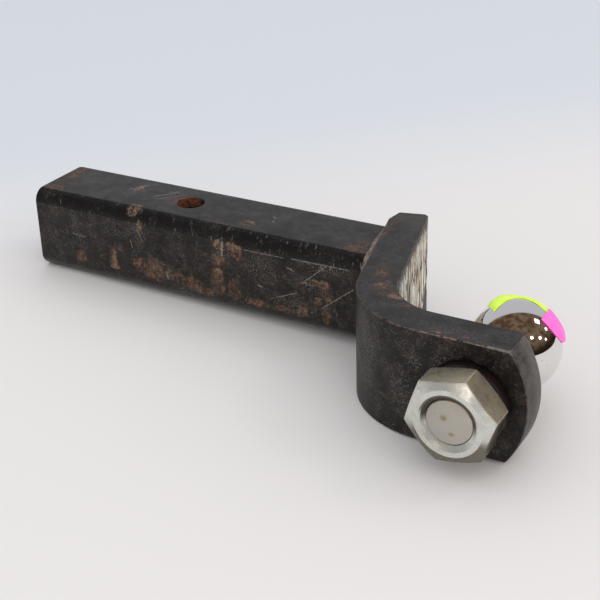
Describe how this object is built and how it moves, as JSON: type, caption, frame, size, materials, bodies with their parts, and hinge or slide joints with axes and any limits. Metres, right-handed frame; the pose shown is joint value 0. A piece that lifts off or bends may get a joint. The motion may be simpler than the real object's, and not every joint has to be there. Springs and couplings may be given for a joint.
{
  "type": "trailer hitch with ball",
  "caption": "Square receiver shank welded to a bent drop plate that carries a chromed hitch ball, held by a lock washer and a hex nut.",
  "frame": {"origin": "centre of the hitch-pin hole, halfway through the shank", "axes": "+X along the shank towards the drop plate, +Y the way the ball points, +Z along the hitch-pin hole and across the plate's width; the part lies on its side as on a bench"},
  "size_m": [0.3445, 0.1532, 0.06],
  "materials": {
    "black_paint": "worn black paint with rust and scratches",
    "weld_bead": "painted weld, rusting",
    "ball_chrome": "polished",
    "zinc_plate": "zinc plated, slightly tarnished",
    "dark_zinc": "dulled",
    "yellow_tape": "fluorescent tape",
    "pink_paper": "fluorescent tape",
    "old_label": "torn and weathered"
  },
  "bodies": {
    "root": {"shank_tube": "black_paint", "drop_plate": "black_paint", "weld_top": "weld_bead", "weld_bottom": "weld_bead", "weld_near": "weld_bead", "weld_far": "weld_bead", "label_residue": "old_label"},
    "ball": {"hitch_ball": "ball_chrome", "yellow_tape": "yellow_tape", "pink_tag": "pink_paper"},
    "washer": {"lock_washer": "dark_zinc"},
    "nut": {"hex_nut": "zinc_plate"}
  },
  "joints": [
    {"name": "ball_turn", "type": "hinge", "parent": "root", "child": "ball", "pos_m": [0.2175, -0.072, 0], "axis": [0, 1, 0], "continuous": true},
    {"name": "washer_travel", "type": "slide", "parent": "ball", "child": "washer", "axis": [0, -1, 0], "range_m": [0, 0.0182]},
    {"name": "nut_turn", "type": "hinge", "parent": "washer", "child": "nut", "pos_m": [0.2175, -0.1, 0], "axis": [0, -1, 0], "range_deg": [0, 3600]}
  ],
  "couplings": [
    {"joint": "washer_travel", "follows": "nut_turn", "m_per_rad": 0.00028872}
  ]
}
